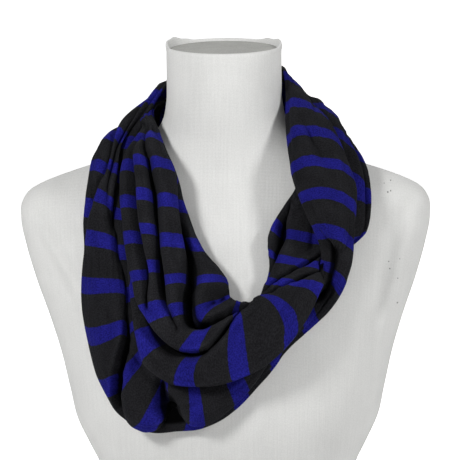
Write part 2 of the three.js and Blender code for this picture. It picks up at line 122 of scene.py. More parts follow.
# The scarf is one loop. One row for each section across it, in the order of travel: the edge nearer the
# neck, the edge further from it, how far the middle of the cloth stands out from the line between them,
# and how many stripes have passed at the inner edge, the middle and the outer edge.
SECTION_COLUMNS = ("inner", "outer", "crown", "stripes")
SECTIONS = (
    ((0, 62, 488), (-1, 69, 430), 6, (-1.95, -1.95, -1.95)),
    ((48, 44, 497), (56, 52, 439), 7, (-1.05, -1.05, -1.1)),
    ((60, 8, 496), (77, 8, 453), 8, (-0.1, -0.25, -0.8)),
    ((59, -45, 448), (103, -36, 446), 15, (1.5, 1.42, 0.75)),
    ((64, -82, 403), (121, -74, 402), 21, (3.0, 3.03, 2.45)),
    ((78, -105, 365), (123, -93, 365), 20, (4.55, 4.38, 3.7)),
    ((90, -112, 331), (120, -100, 325), 14, (5.5, 5.5, 5.0)),
    ((80, -107, 296), (103, -104, 279), 9, (7.0, 6.55, 6.4)),
    ((45, -115, 259), (63, -112, 243), 8, (7.9, 7.6, 7.4)),
    ((13, -123, 234), (32, -121, 205), 11, (8.6, 8.62, 8.5)),
    ((-22, -126, 220), (-8, -124, 170), 15, (9.6, 9.58, 9.5)),
    ((-53, -124, 224), (-57, -121, 157), 17, (10.8, 10.8, 10.4)),
    ((-77, -118, 246), (-98, -112, 169), 18, (12.2, 11.75, 11.1)),
    ((-87, -111, 276), (-122, -99, 212), 17, (13.6, 12.75, 12.0)),
    ((-92, -105, 308), (-136, -87, 274), 15, (14.5, 13.83, 13.4)),
    ((-96, -95, 348), (-137, -77, 343), 14, (15.5, 15.13, 15.0)),
    ((-96, -74, 389), (-131, -54, 393), 17, (16.9, 16.47, 16.4)),
    ((-89, -36, 432), (-119, -24, 420), 18, (18.1, 17.94, 17.9)),
    ((-60, 20, 484), (-97, 14, 422), 9, (19.3, 19.2, 19.1)),
    ((-48, 60, 478), (-68, 56, 416), 13, (20.3, 20.2, 20.1)),
    ((0, 80, 473), (-1, 72, 408), 12, (21.3, 21.3, 21.3)),
    ((60, 58, 478), (78, 58, 420), 13, (22.5, 22.5, 22.5)),
    ((88, 14, 465), (116, 16, 424), 11, (23.7, 23.7, 23.5)),
    ((84, -24, 436), (128, -20, 424), 10, (25.1, 25.0, 24.4)),
    ((72, -64, 394), (140, -58, 395), 7, (26.1, 26.0, 25.5)),
    ((48, -88, 361), (137, -76, 347), 8, (26.9, 26.5, 26.85)),
    ((39, -99, 331), (109, -97, 320), 8, (28.0, 27.6, 27.85)),
    ((35, -105, 292), (93, -124, 300), 10, (29.7, 29.1, 28.85)),
    ((30, -113, 287), (67, -143, 261), 10, (30.4, 30.2, 29.68)),
    ((24, -118, 286), (35, -150, 229), 11, (30.6, 30.6, 30.52)),
    ((17, -120, 285), (-7, -152, 212), 13, (30.5, 31.1, 31.45)),
    ((10, -120, 285), (-46, -149, 213), 15, (31.2, 31.75, 32.1)),
    ((6, -119, 288), (-77, -141, 230), 17, (32.0, 32.35, 32.5)),
    ((4, -116, 298), (-88, -125, 267), 20, (33.5, 33.15, 33.05)),
    ((-6, -110, 314), (-92, -111, 307), 22, (34.4, 34.25, 34.3)),
    ((-24, -104, 336), (-97, -101, 345), 22, (35.0, 35.0, 35.1)),
    ((-38, -92, 373), (-100, -86, 384), 22, (36.0, 36.09, 36.2)),
    ((-49, -73, 407), (-97, -64, 418), 19, (37.0, 37.2, 37.3)),
    ((-64, -45, 438), (-82, -40, 443), 10, (38.1, 38.37, 38.4)),
    ((-70, 2, 461), (-80, 5, 446), 5, (39.2, 39.2, 39.2)),
    ((-47, 42, 472), (-56, 48, 431), 7, (40.1, 40.1, 40.1)),
)
SECTION_COUNT = len(SECTIONS)
SECTION_LENGTH = 45
STRIPES_ROUND = 43

# One row for each main fold. It runs along the cloth between two section numbers. The lists hold its place
# across (-1 inner edge, 1 outer edge) and its depth at even steps of that run, then come its half widths on
# the inner and the outer side, how far its bottom leans under the cloth beside it, and how many stripes the
# cloth slips on its outer side, and on its inner side where it slips there too.
FOLDS = (
    (2.8, 4.2, (-0.3, -0.1, 0.05), (2, 4, 1), (4, 6), 0, (0, 0)),
    (5.5, 7.3, (-0.95, -0.6, -0.3, -0.2), (8, 27, 27, 9), (6, 12), 3, (0, 0)),
    (2.6, 6.2, (0.7, 0.8, 0.84, 0.82), (4, 10, 10, 5), (2.5, 2.5), 0, (0, 0)),
    (7.6, 9.6, (0.5, 0.7, 0.75), (4, 11, 4), (2, 2.5), 0, (0, 0)),
    (8.3, 11.7, (0.2, 0.55, 0.7, 0.72, 0.95), (3, 8, 12, 12, 6), (2.5, 3), -2, (0, 0)),
    (11.8, 14, (1.05, 0.6, -0.3, -0.6, -0.7, -0.75), (10, 20, 24, 19, 10, 3), (8, 3), 5, (0, 0)),
    (14, 15.8, (-0.75, -0.72, -0.72, -0.7), (7, 17, 18, 9), (6, 5), 0, (0, 0)),
    (14.3, 18, (1, 0.65, 0.2, -0.03, 0.02, 0.05), (5, 15, 20, 18, 15, 6), (3, 4), -4,
     (0, -0.5, -0.75, -0.85, -1.1, -1.3)),
    (15.7, 18, (-0.2, -0.3, -0.38, -0.4), (6, 15, 17, 7), (3, 3), -2, (0, 0)),
    (15.3, 18, (-0.5, -0.62, -0.72, -0.72), (7, 16, 17, 7), (4, 3), 2, (0, 0)),
    (18.9, 21.5, (-0.5, -0.45, -0.5), (4, 9, 4), (5, 6), 1, (0, 0)),
    (18.9, 21.5, (0.05, 0.1, 0), (5, 11, 5), (5, 8), -2, (0, 0)),
    (18.9, 21.5, (0.55, 0.6, 0.55), (3, 8, 3), (6, 4), 1, (0, 0)),
    (22.5, 25.3, (0.5, 0.7, 0.78, 0.8), (3, 5, 7, 4), (4, 4), -2, (0, 0)),
    (24.4, 26.8, (-0.97, -0.64, -0.5, -0.6, -1), (5, 19, 22, 13, 2), (7, 4), 5, (0, 0)),
    (25.6, 27.2, (0.38, 0, -0.8), (5, 10, 3), (1.8, 2), 1.5, (0, 0)),
    (25.8, 27.8, (0.85, 0.4, -0.3, -0.9), (4, 9, 9, 3), (1.8, 2), 1.5, (0, 0)),
    (29.5, 34.7, (-0.8, -0.45, 0.15, 0.3, 0.38, 0.56, 0.8, 0.93, 0.97),
     (3, 9, 16, 20, 24, 24, 22, 15, 6), (3.5, 5), -5, (0, 0, 0.05, 0.15, 0.3, 0.35, 0.4, 0.3, 0)),
    (28.8, 36.8, (-0.95, -0.7, -0.45, -0.1, -0.04, -0.2, -0.42, -0.66, -0.93),
     (2, 8, 20, 34, 42, 40, 30, 22, 10), (7, 5), -5, (0, 0), (0, 0, -0.15, -0.4, -0.75, -0.9, -1, -1, -1)),
    (32.3, 38.7, (0.12, 0.2, 0.2, 0.12, 0.03, -0.02, 0.1, 0.45, 0.85),
     (5, 13, 19, 21, 25, 27, 18, 8, 0), (4.5, 3.5), -3, (0, -0.15, -0.45, -0.35, -0.15, -0.05, 0, 0, 0)),
    (33.3, 37.4, (0.45, 0.4, 0.42, 0.42, 0.5), (5, 12, 15, 15, 6), (3, 4.5), -2, (0, 0.25, 0.2, 0.1, 0)),
    (39.6, 43.2, (-0.35, -0.3, -0.35), (2, 6, 2), (5, 4), 1, (0, 0)),
    (39.6, 43.2, (0.3, 0.35, 0.3), (2, 6, 2), (4, 5), -1, (0, 0)),
)
FOLD_FADE = 0.35
FOLD_ROUNDING = 0.02
FOLD_POWER = 0.75
# Folds fade out at these shares of the way from an edge, and the stripes slip over this half width.
EDGE_FADE = (0.02, 0.28)
SLIP_WIDTH = 2
# How far ahead a direction along the cloth is taken, in sections.
AHEAD = 0.05

# One row for each smaller crease, in the columns of the folds as far as its half width. A depth under 0
# is a soft ridge.
CREASES = (
    (2.3, 3.6, (0.3, 0.15, 0.2), (0.5, 1.6, 0.6), 3.5),
    (3.6, 5.1, (0.45, 0.4, 0.3), (0.4, 1.5, 0.5), 4),
    (4.3, 5.6, (-0.5, -0.55, -0.45), (0.4, 1.8, 0.8), 3.5),
    (5.4, 6.6, (0.35, 0.2, 0.25), (0.6, 2.2, 0.8), 3.5),
    (6.1, 7.3, (0.5, 0.6, 0.7), (0.6, 1.8, 0.6), 3),
    (9.4, 11.2, (0.1, 0.0, 0.12), (0.4, 1.6, 0.7), 4),
    (10.3, 12.1, (-0.45, -0.3, -0.35), (0.6, 2.4, 1), 4.5),
    (12.6, 14.4, (0.55, 0.35, 0.3), (0.3, 1.3, 0.4), 6),
    (13.2, 14.8, (-0.1, -0.2, -0.15), (0.4, 1.4, 0.5), 5),
    (15.2, 16.9, (0.62, 0.5, 0.45), (0.5, 2.2, 0.8), 4),
    (15.9, 18.3, (0.75, 0.7, 0.72), (0.5, 2.6, 1), 4),
    (17.2, 19.4, (0.3, 0.28, 0.35), (0.8, 2.8, 1.2), 4.5),
    (18.6, 20.3, (-0.2, -0.15, -0.22), (0.6, 2.2, 0.8), 4),
    (19.3, 21.9, (0.3, 0.36, 0.3), (0.5, 2.4, 0.9), 4.5),
    (20.2, 22.6, (-0.75, -0.7, -0.6), (0.5, 2.0, 0.7), 4),
    (21.4, 23.6, (0.1, 0.2, 0.3), (0.7, 1.8, 1), 4.5),
    (22.2, 24.6, (-0.3, -0.2, 0.0), (0.5, 2.0, 0.6), 4),
    (24.2, 26.1, (-0.2, -0.1, 0.1), (0.8, 2.4, 0.9), 3.5),
    (26.9, 28.6, (0.7, 0.55, 0.5), (0.3, 1.2, 0.4), 4),
    (28.2, 30.2, (-0.35, -0.3, -0.1), (0.4, 1.3, 0.5), 5),
    (29.9, 31.6, (0.75, 0.7, 0.78), (0.3, 1.4, 0.5), 4),
    (33.8, 35.4, (-0.1, -0.12, -0.2), (0.3, 1.2, 0.4), 4.5),
    (35.3, 37.2, (0.2, 0.16, 0.22), (0.4, 1.6, 0.6), 3.5),
    (36.6, 38.4, (-0.3, -0.35, -0.25), (0.5, 2.4, 1), 4),
    (37.5, 39.4, (0.3, 0.1, 0.2), (0.5, 1.6, 0.5), 3),
    (40.2, 42.3, (0.0, 0.05, -0.02), (0.4, 1.8, 0.6), 4),
    (41.0, 43.0, (-0.65, -0.6, -0.66), (0.4, 1.6, 0.5), 4),
)

# One row for each hollow: its section number and place across, its half length in sections, its half
# width as a share of half the section, and its depth.
HOLLOWS = (
    (2.9, -0.75, 0.9, 0.3, 4),
    (4.5, 0.55, 0.5, 0.3, -2.5),
    (5.6, 0.3, 0.4, 0.35, 3),
    (6.2, -0.25, 0.34, 0.42, 24),
    (6.3, 0.45, 0.45, 0.4, -4),
    (7.1, 0.3, 0.3, 0.35, 4),
    (10.2, 0.25, 0.35, 0.35, -3),
    (10.88, 0.5, 0.27, 0.34, 24),
    (10.95, 0.1, 0.2, 0.3, 20),
    (11.18, -0.25, 0.14, 0.3, 18),
    (11.7, 0.35, 0.28, 0.35, -4),
    (12.1, -0.3, 0.4, 0.45, 9),
    (13.1, 0.35, 0.45, 0.4, -3),
    (14.55, 0.3, 0.35, 0.4, 3),
    (15.3, -0.35, 0.3, 0.2, 5),
    (16.5, 0.55, 0.4, 0.3, -3),
    (19.4, 0.1, 0.5, 0.5, 4),
    (21.3, -0.2, 0.45, 0.4, 4),
    (26.1, 0.78, 0.55, 0.36, 22),
    (26.4, -0.9, 0.4, 0.3, 5),
    (28.6, 0.3, 0.5, 0.5, -2.5),
    (31.2, 0.7, 0.4, 0.3, -3),
    (32.5, -0.5, 0.5, 0.4, 10),
    (37.9, -0.1, 0.18, 0.45, 5),
)

# One row for each stretch of the scarf: its name, the CAD node that it stands for, the sections between
# which it lies, and the width and length that it is cut to, in metres.
STRETCHES = (
    ("jersey_nape_upper", "scarf_nape_upper", 39.5, 42.6, 0.065, 0.18),
    ("jersey_right_over", "scarf_right_over", 1.6, 7.4, 0.068, 0.3),
    ("jersey_front_sweep", "scarf_front_sweep", 7.4, 13.4, 0.08, 0.28),
    ("jersey_left_under", "scarf_left_under", 13.4, 18.45, 0.08, 0.29),
    ("jersey_nape_lower", "scarf_nape_lower", 18.45, 22, 0.085, 0.24),
    ("jersey_right_under", "scarf_right_under", 22, 26.6, 0.078, 0.21),
    ("jersey_front_band", "scarf_front_band", 26.6, 33, 0.1, 0.17),
    ("jersey_left_over", "scarf_left_over", 33, 39.5, 0.09, 0.28),
)
COLUMNS_ACROSS = 144
PROFILE_SAMPLES = 240
LENGTH_SAMPLES = 40
CLEAR_ROUNDS = 12

# The ripples of the cloth, one row for each size: cells round the loop, cells from edge to edge, and depth.
RIPPLES = (
    (41, 9, 1.3),
    (82, 20, 0.7),
    (164, 34, 0.25),
)
RIPPLE_SEED = 11

# The cloth's colour is painted lighter on ridges, a painted highlight, and darker in folds, painted shade:
# how many rounds of blur find a ridge, the height of a full ridge, and the depths between which a fold turns
# dark.
RIDGE_ROUNDS = 14
RIDGE_HEIGHT = 1.6
PAINTED_SHADE_DEPTHS = (4, 15)


# Tables and curves

def column(rows, columns, name):
    """One named column of a table, as an array."""
    return np.array([row[columns.index(name)] for row in rows], float)


def spline(a, b, c, d, t):
    """A smooth curve from b to c between evenly numbered values."""
    return b + 0.5 * t * (c - a + t * (2 * a - 5 * b + 4 * c - d + t * (3 * (b - c) + d - a)))


def along_list(values, share):
    """The value of an evenly spaced list at a share of its length."""
    values = np.array(values, float)
    last = len(values) - 1
    at = np.clip(share, 0, 1) * last
    start = np.minimum(np.floor(at).astype(int), last - 1)
    a, b, c, d = (values[np.clip(start + step, 0, last)] for step in (-1, 0, 1, 2))
    return spline(a, b, c, d, at - start)


def smoothstep(x, low, high):
    t = np.clip((x - low) / (high - low), 0, 1)
    return t * t * (3 - 2 * t)


def along_loop(name, at):
    """A column of the sections at any section number. The loop closes on itself."""
    values = column(SECTIONS, SECTION_COLUMNS, name)
    start = np.floor(at).astype(int)
    t = at - start
    if values.ndim > 1:
        t = t[..., None]
    parts = []
    for step in (-1, 0, 1, 2):
        number = start + step
        part = values[number % SECTION_COUNT]
        if name == "stripes":
            part = part + STRIPES_ROUND * np.floor(number / SECTION_COUNT)[..., None]
        parts.append(part)
    return spline(*parts, t)


def smooth_levels():
    """The form's table as smooth curves, with one value of each column for every millimetre of height."""
    heights = column(FORM_LEVELS, FORM_COLUMNS, "z")
    fine = np.arange(NECK_TOP + 1.0)
    start = np.clip(np.searchsorted(heights, fine, side="right") - 1, 0, len(heights) - 2)
    step = heights[start + 1] - heights[start]
    t = (fine - heights[start]) / step
    curves = {}
    for name in FORM_COLUMNS[1:]:
        values = column(FORM_LEVELS, FORM_COLUMNS, name)
        slopes = np.gradient(values, heights)
        rise = values[start + 1] - values[start]
        low, high = slopes[start] * step, slopes[start + 1] * step
        bend = 3 * rise - 2 * low - high + t * (low + high - 2 * rise)
        curves[name] = values[start] + t * (low + t * bend)
    return fine, curves


LEVEL_HEIGHTS, LEVEL_CURVES = smooth_levels()


def level_at(z):
    return tuple(np.interp(z, LEVEL_HEIGHTS, LEVEL_CURVES[name]) for name in FORM_COLUMNS[1:])


def outside_form(p):
    """About how far points lie outside the form's surface, and under 0 inside it."""
    side, front, back, square = level_at(p[..., 2])
    depth = np.where(p[..., 1] < 0, front, back)
    reach = (np.abs(p[..., 0]) / side) ** square + (np.abs(p[..., 1]) / depth) ** square
    return (reach ** (1 / square) - 1) * np.minimum(side, depth)


def clear_of_form(p, clearance):
    """Moves points out of the form along the steepest way, until they are clear of its surface."""
    p = p.copy()
    step, margin, longest = 0.5, 0.05, 6
    for _ in range(CLEAR_ROUNDS):
        distance = outside_form(p)
        near = np.nonzero(distance < 3 * clearance)
        q = p[near]
        slope = np.stack([(outside_form(q + step * axis) - distance[near]) / step for axis in np.eye(3)], -1)
        size = np.linalg.norm(slope, axis=-1)
        real = distance[near] / np.maximum(size, 0.2)
        need = np.where(real < clearance, np.minimum(clearance - real + margin, longest), 0)
        if not need.any():
            break
        p[near] = q + slope / np.maximum(size, 1e-6)[..., None] * need[..., None]
    return p


# The cloth of the scarf

def fold_parts(row, at):
    """A fold's share of its run at section numbers, its strength and place across there, and how fast it
    crosses the cloth."""
    start, end, places = row[:3]
    along = np.where(at < start - FOLD_FADE, at + SECTION_COUNT, at)
    share = (along - start) / (end - start)
    fade = FOLD_FADE / (end - start)
    strength = smoothstep(share, -fade, 0) * (1 - smoothstep(share, 1, 1 + fade))
    bottom = along_list(places, share)
    turn = (along_list(places, share + AHEAD / (end - start)) - bottom) / AHEAD
    return share, strength, bottom, turn


def dip_shape(distance, wide):
    """The cross-section of a fold: round shoulders, and a bottom that is narrower than they are. It is given
    one half width, or one for each side."""
    inner, outer = wide if isinstance(wide, tuple) else (wide, wide)
    distance = np.where(distance < 0, distance / inner, distance / outer)
    return np.exp(-((distance * distance + FOLD_ROUNDING) ** FOLD_POWER))


def cloth_frame(at):
    """For each section number: the middle of the section, the direction across it, the direction out of
    it, half its width and its crown."""
    inner, outer = along_loop("inner", at), along_loop("outer", at)
    centre = (inner + outer) / 2
    following = (along_loop("inner", at + AHEAD) + along_loop("outer", at + AHEAD)) / 2
    side = outer - inner
    half = np.linalg.norm(side, axis=-1) / 2
    side = side / (2 * half)[..., None]
    out = np.cross(following - centre, side)
    out /= np.linalg.norm(out, axis=-1)[..., None]
    return centre, side, out, half, along_loop("crown", at)


def cloth_point(at, across, wrap):
    """The middle of the cloth at section numbers (rows, 1) and places across (rows, columns), and how deep
    it dips there."""
    centre, side, out, half, crown = cloth_frame(at[:, 0] % SECTION_COUNT)
    half, crown = half[:, None], crown[:, None]
    s, c = np.sin(across * wrap), np.cos(across * wrap)
    normal_x, normal_y = s / half, c / crown
    size = np.hypot(normal_x, normal_y)
    normal_x, normal_y = normal_x / size, normal_y / size
    x, y = half * s, crown * c
    edge_fade = smoothstep(1 - np.abs(across), *EDGE_FADE)
    dips = np.zeros_like(x)
    for row in FOLDS + CREASES:
        _, _, _, depths, wide, *leans = row
        share, strength, bottom, turn = fold_parts(row, at)
        if not strength.any():
            continue
        speed = wrap * np.hypot(half * np.cos(bottom * wrap), crown * np.sin(bottom * wrap))
        speed = speed / np.hypot(1, turn * speed / SECTION_LENGTH)
        deep = along_list(depths, share) * strength * dip_shape((across - bottom) * speed, wide) * edge_fade
        lean = leans[0] / max(depths) if leans else 0
        dips += deep
        x, y = x - normal_x * deep + normal_y * deep * lean, y - normal_y * deep - normal_x * deep * lean
    for place, middle, length, width, depth in HOLLOWS:
        deep = depth * np.exp(-((at - place) / length) ** 2 - ((across - middle) / width) ** 2)
        dips += deep
        x, y = x - normal_x * deep, y - normal_y * deep
    return centre[:, None] + side[:, None] * x[..., None] + out[:, None] * y[..., None], dips


def stripes_passed(at, across, wrap):
    """How many stripes have passed at each point. They jog where the cloth slips across a fold."""
    inner, middle, outer = np.moveaxis(along_loop("stripes", at), -1, 0)
    passed = middle + (outer - inner) / 2 * across + ((outer + inner) / 2 - middle) * across ** 2
    _, _, _, half, crown = cloth_frame(at[:, 0] % SECTION_COUNT)
    for row in FOLDS:
        slips = row[6:]
        if not any(any(slip) for slip in slips):
            continue
        share, strength, bottom, _ = fold_parts(row, at)
        speed = wrap * np.hypot(half[:, None] * np.cos(bottom * wrap), crown[:, None] * np.sin(bottom * wrap))
        beyond = smoothstep((across - bottom) * speed, -SLIP_WIDTH, SLIP_WIDTH)
        for slip, part in zip(slips, (beyond, 1 - beyond)):
            passed = passed + along_list(slip, share) * strength * part
    return passed


def lattice_noise(at, across, rows, columns, random):
    """Smooth noise from -1 to 1 that closes on itself round the loop."""
    grid = random.uniform(-1, 1, (rows, columns + 3))
    x = at / SECTION_COUNT * rows
    y = (across + 1) / 2 * columns
    i, j = np.floor(x).astype(int), np.floor(y).astype(int)
    tx, ty = smoothstep(x - i, 0, 1), smoothstep(y - j, 0, 1)
    j = np.clip(j, 0, columns + 1)
    low = grid[i % rows, j] * (1 - tx) + grid[(i + 1) % rows, j] * tx
    high = grid[i % rows, j + 1] * (1 - tx) + grid[(i + 1) % rows, j + 1] * tx
    return low * (1 - ty) + high * ty


def ripple_height(at, across):
    random = np.random.default_rng(RIPPLE_SEED)
    return sum(depth * lattice_noise(at, across, rows, columns, random) for rows, columns, depth in RIPPLES)


def ridge_share(grid, normals):
    """Where the cloth stands out from its surroundings, from -1 in a fold to 1 on a ridge."""
    blurred = grid
    for _ in range(RIDGE_ROUNDS):
        for axis in (0, 1):
            padded = np.concatenate([blurred.take([0], axis), blurred, blurred.take([-1], axis)], axis)
            count = padded.shape[axis]
            before, after = padded.take(range(count - 2), axis), padded.take(range(2, count), axis)
            blurred = (before + after) / 4 + blurred / 2
    height = ((grid - blurred) * normals).sum(-1)
    return np.clip(height / RIDGE_HEIGHT, -1, 1)


def grid_normals(grid):
    """Unit normals of a grid of points, from their neighbours on both sides."""
    along = np.gradient(grid, axis=0)
    across = np.gradient(grid, axis=1)
    normals = np.cross(along, across)
    return normals / np.maximum(np.linalg.norm(normals, axis=-1), 1e-9)[..., None]


def even_places(at, wrap):
    """Places across each section that are evenly spaced along its folded line."""
    fine = np.linspace(-1, 1, PROFILE_SAMPLES + 1)
    points, _ = cloth_point(at, np.broadcast_to(fine, (len(at), len(fine))), wrap)
    steps = np.linalg.norm(np.diff(points, axis=1), axis=-1)
    reached = np.concatenate([np.zeros((len(at), 1)), np.cumsum(steps, axis=1)], axis=1)
    wanted = np.linspace(0, 1, COLUMNS_ACROSS + 1)
    places = np.stack([np.interp(wanted * row[-1], row, fine) for row in reached])
    return places, reached[:, -1:] * (wanted - 0.5)


def stretch_grid(start, end, settings):
    """The middle of one stretch as a grid, with its normals, its cloth coordinates in metres and its ridges.
    A row beyond each end gives the end rows their normals, and is then left off."""
    wrap = settings.wrap_angle
    probe = np.linspace(start, end, LENGTH_SAMPLES)[:, None]
    middle = cloth_point(probe, np.zeros_like(probe), wrap)[0][:, 0]
    length = np.linalg.norm(np.diff(middle, axis=0), axis=-1).sum()
    rows = int(length / (settings.grid_spacing / MM))
    step = (end - start) / rows
    at = (start + step * np.arange(-1, rows + 2))[:, None]
    across, width = even_places(at, wrap)
    grid, dips = cloth_point(at, across, wrap)
    ripple = ripple_height(at, across) * settings.ripple_depth
    grid = grid + grid_normals(grid) * ripple[..., None]
    thickness = settings.cloth_thickness / MM
    grid = clear_of_form(grid, settings.form_clearance / MM + thickness / 2)
    normals = grid_normals(grid)
    along = stripes_passed(at, across, wrap) * settings.stripe_pitch
    cloth = np.stack([width * MM, along], -1)
    # The ridge measure, pushed towards -1 in deep folds. The material turns it into painted shade in folds
    # and a painted highlight on ridges.
    ridge = np.minimum(ridge_share(grid, normals), 1 - 2 * smoothstep(dips, *PAINTED_SHADE_DEPTHS))
    return grid[1:-1], normals[1:-1], cloth[1:-1], ridge[1:-1]


def set_cloth_map(mesh, flat):
    """Stores the cloth's own coordinates, one pair for each vertex, as the mesh's UV map."""
    layer = mesh.uv_layers[0] if mesh.uv_layers else mesh.uv_layers.new(name="cloth")
    layer.name = "cloth"
    corners = np.zeros(len(mesh.loops), np.int32)
    mesh.loops.foreach_get("vertex_index", corners)
    layer.data.foreach_set("uv", flat[corners].astype(np.float32).ravel())


def sheet_object(name, grid, normals, cloth, ridge, thickness):
    """A closed sheet of cloth from a grid of points on its middle, in millimetres."""
    rows, columns = grid.shape[:2]
    faces_up, faces_down = grid + normals * thickness / 2, grid - normals * thickness / 2
    points = np.concatenate([faces_up.reshape(-1, 3), faces_down.reshape(-1, 3)]) * MM
    number = np.arange(rows * columns).reshape(rows, columns)
    a, b, c, d = number[:-1, :-1], number[1:, :-1], number[1:, 1:], number[:-1, 1:]
    upper = np.stack([a, b, c, d], -1).reshape(-1, 4)
    lower = np.stack([a, d, c, b], -1).reshape(-1, 4) + rows * columns
    strips = []
    edges = ((number[:, 0], False), (number[:, -1], True), (number[0], True), (number[-1], False))
    for line, turned in edges:
        p, q = line[:-1], line[1:]
        strip = [p, p + rows * columns, q + rows * columns, q]
        strips.append(np.stack(strip[::-1] if turned else strip, -1))
    faces = np.concatenate([upper, lower, *strips])
    mesh = bpy.data.meshes.new(name)
    mesh.from_pydata(points, [], faces)
    mesh.polygons.foreach_set("use_smooth", np.ones(len(faces), bool))
    set_cloth_map(mesh, np.concatenate([cloth.reshape(-1, 2)] * 2))
    # The ridge measure, turned over on the inner face. The material paints shade in folds and a highlight on
    # ridges from it.
    ridges = mesh.attributes.new("ridge", "FLOAT", "POINT")
    ridges.data.foreach_set("value", np.concatenate([ridge.ravel(), -ridge.ravel()]).astype(np.float32))
    shading = np.concatenate([normals.reshape(-1, 3), -normals.reshape(-1, 3)])
    mesh.normals_split_custom_set_from_vertices(shading.tolist())
    mesh.update()
    sheet = bpy.data.objects.new(name, mesh)
    bpy.context.scene.collection.objects.link(sheet)
    return sheet


# Materials

def new_material(name):
    material = bpy.data.materials.new(name)
    material.use_nodes = True
    tree = material.node_tree
    tree.nodes.clear()
    output = tree.nodes.new("ShaderNodeOutputMaterial")
    shader = tree.nodes.new("ShaderNodeBsdfPrincipled")
    tree.links.new(shader.outputs["BSDF"], output.inputs["Surface"])
    return material, tree, shader


def fill_inputs(tree, node, inputs):
    """Fills a node's sockets from (socket, value or output) pairs."""
    for socket, value in inputs:
        if isinstance(value, bpy.types.NodeSocket):
            tree.links.new(value, node.inputs[socket])
        else:
            node.inputs[socket].default_value = value


def add_node(tree, kind, inputs=(), **settings):
    node = tree.nodes.new(kind)
    for key, value in settings.items():
        setattr(node, key, value)
    fill_inputs(tree, node, inputs)
    return node


def math_node(tree, operation, *values):
    return add_node(tree, "ShaderNodeMath", enumerate(values), operation=operation).outputs[0]


def product(tree, a, b):
    return math_node(tree, "MULTIPLY", a, b)


def total(tree, a, b):
    return math_node(tree, "ADD", a, b)


def map_range(tree, value, low, high, to_low=0.0, to_high=1.0, kind="SMOOTHSTEP"):
    names = ("Value", "From Min", "From Max", "To Min", "To Max")
    inputs = zip(names, (value, low, high, to_low, to_high))
    return add_node(tree, "ShaderNodeMapRange", inputs, interpolation_type=kind).outputs["Result"]


def noise(tree, vector, scale, detail=2.0, roughness=0.5):
    inputs = (("Vector", vector), ("Scale", scale), ("Detail", detail), ("Roughness", roughness))
    return add_node(tree, "ShaderNodeTexNoise", inputs).outputs[0]


def bumped(tree, height, strength, distance):
    """The normal of a surface with this height, whose full height is a distance in metres."""
    inputs = (("Height", height), ("Strength", strength), ("Distance", distance))
    return add_node(tree, "ShaderNodeBump", inputs).outputs[0]


def tinted(tree, colour, factor):
    """A colour scaled by a factor."""
    inputs = ((0, colour), ("Scale", factor))
    return add_node(tree, "ShaderNodeVectorMath", inputs, operation="SCALE").outputs[0]


def new_group(name, inputs, outputs):
    """A shader node group with named inputs, as (name, kind, default), and named outputs."""
    group = bpy.data.node_groups.new(name, "ShaderNodeTree")
    for label, kind, default in inputs:
        socket = group.interface.new_socket(name=label, in_out="INPUT", socket_type=kind)
        if default is not None:
            socket.default_value = default
    for label in outputs:
        group.interface.new_socket(name=label, in_out="OUTPUT", socket_type="NodeSocketFloat")
    return group, group.nodes.new("NodeGroupInput").outputs, group.nodes.new("NodeGroupOutput")


def knit_group():
    """Rows of knitted loops: a height, and a mask that is 1 on top of the yarn. It reads a place across
    and a place along the cloth, in metres."""
    defaults = (("Across", 0.0), ("Along", 0.0), ("Wale Width", 0.0009), ("Course Height", 0.0007),
                ("Slant", 0.6))
    inputs = [(label, "NodeSocketFloat", default) for label, default in defaults]
    group, given, result = new_group("knit_loops", inputs, ("Height", "Yarn"))
    wale = math_node(group, "DIVIDE", given["Across"], given["Wale Width"])
    leg = math_node(group, "PINGPONG", wale, 0.5)
    ridge = math_node(group, "SINE", product(group, leg, 2 * math.pi))
    course = math_node(group, "DIVIDE", given["Along"], given["Course Height"])
    slanted = total(group, course, product(group, leg, given["Slant"]))
    loop = math_node(group, "SINE", product(group, slanted, 2 * math.pi))
    height = total(group, product(group, ridge, 0.65), product(group, loop, 0.35))
    fill_inputs(group, result, (("Height", height), ("Yarn", map_range(group, height, -0.4, 0.9))))
    return group


def mottle_group():
    """Soft uneven patches and fine flecks, as a factor near 1 for a colour."""
    inputs = (("Vector", "NodeSocketVector", None), ("Patches", "NodeSocketFloat", 0.1),
              ("Flecks", "NodeSocketFloat", 0.2), ("Fleck Scale", "NodeSocketFloat", 700.0),
              ("Patch Scale", "NodeSocketFloat", 45.0))
    group, given, result = new_group("yarn_mottle", inputs, ("Factor",))
    patches = noise(group, given["Vector"], given["Patch Scale"], 3.0, 0.6)
    flecks = noise(group, given["Vector"], given["Fleck Scale"])
    patch = product(group, map_range(group, patches, 0.3, 0.7, -1, 1), given["Patches"])
    fleck = product(group, map_range(group, flecks, 0.35, 0.65, -1, 1), given["Flecks"])
    fill_inputs(group, result, (("Factor", total(group, total(group, patch, fleck), 1.0)),))
    return group


def shared_groups():
    """The knit and the mottle, each built once."""
    groups = bpy.data.node_groups
    return groups.get("knit_loops") or knit_group(), groups.get("yarn_mottle") or mottle_group()


def place_knit(tree, knit, place, wale_width, course_height, slant):
    """The knit's height and yarn mask at a place on the cloth."""
    inputs = (("Across", place["X"]), ("Along", place["Y"]), ("Wale Width", wale_width),
              ("Course Height", course_height), ("Slant", slant))
    loops = add_node(tree, "ShaderNodeGroup", inputs, node_tree=knit)
    return loops.outputs["Height"], loops.outputs["Yarn"]


def place_mottle(tree, mottle, vector, patches, flecks, patch_scale=45.0):
    inputs = (("Vector", vector), ("Patches", patches), ("Flecks", flecks), ("Patch Scale", patch_scale))
    return add_node(tree, "ShaderNodeGroup", inputs, node_tree=mottle).outputs["Factor"]


def cloth_place(tree):
    """The cloth's own coordinates in metres, whole and as a place across and along."""
    cloth = add_node(tree, "ShaderNodeUVMap", uv_map="cloth").outputs[0]
    return cloth, add_node(tree, "ShaderNodeSeparateXYZ", (("Vector", cloth),)).outputs


